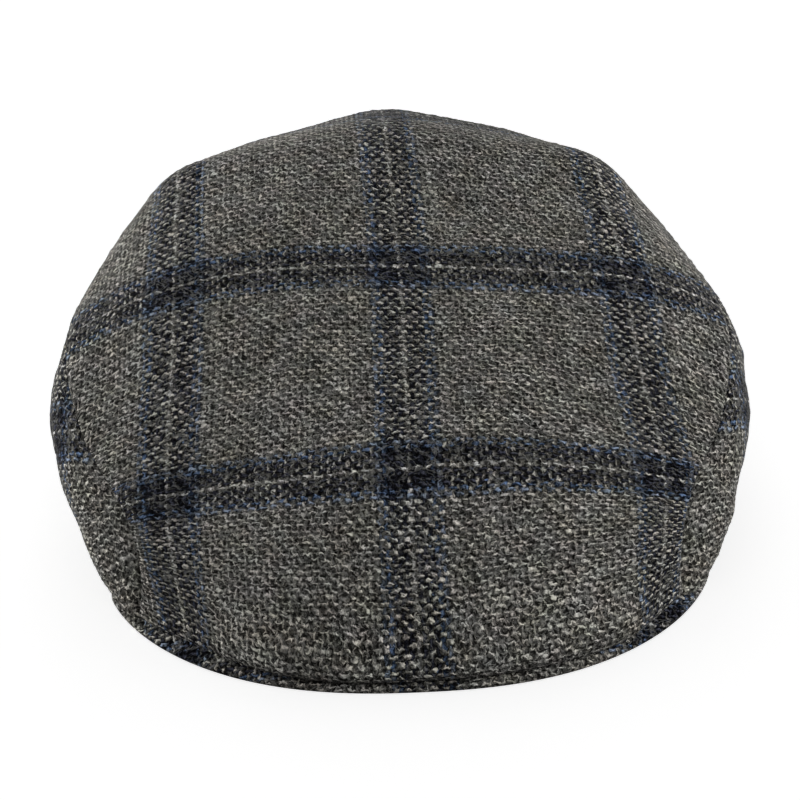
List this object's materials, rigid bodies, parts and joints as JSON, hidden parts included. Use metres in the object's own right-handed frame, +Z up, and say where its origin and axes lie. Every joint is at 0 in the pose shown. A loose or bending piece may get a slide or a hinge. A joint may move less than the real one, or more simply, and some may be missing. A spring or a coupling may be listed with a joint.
{
  "type": "flat cap",
  "caption": "Checked tweed flat cap: a full top panel laid over a stiff curved peak, side panels that meet at the back, and an open hollow for the head.",
  "frame": {"origin": "on the table under the middle of the cap's bounding box", "axes": "+Z up out of the table, the peak points to -Y, +X to the right of someone who looks at the peak"},
  "size_m": [0.2326, 0.266, 0.0825],
  "materials": {
    "tweed_top": "matte woven wool, grey with a dark blue check",
    "tweed_left_side": "matte woven wool, grey with a dark blue check",
    "tweed_right_side": "matte woven wool, grey with a dark blue check",
    "tweed_peak": "matte woven wool, grey with a dark blue check"
  },
  "bodies": {
    "root": {"top_panel": "tweed_top", "left_side_panel": "tweed_left_side", "right_side_panel": "tweed_right_side", "peak": "tweed_peak"}
  },
  "joints": []
}
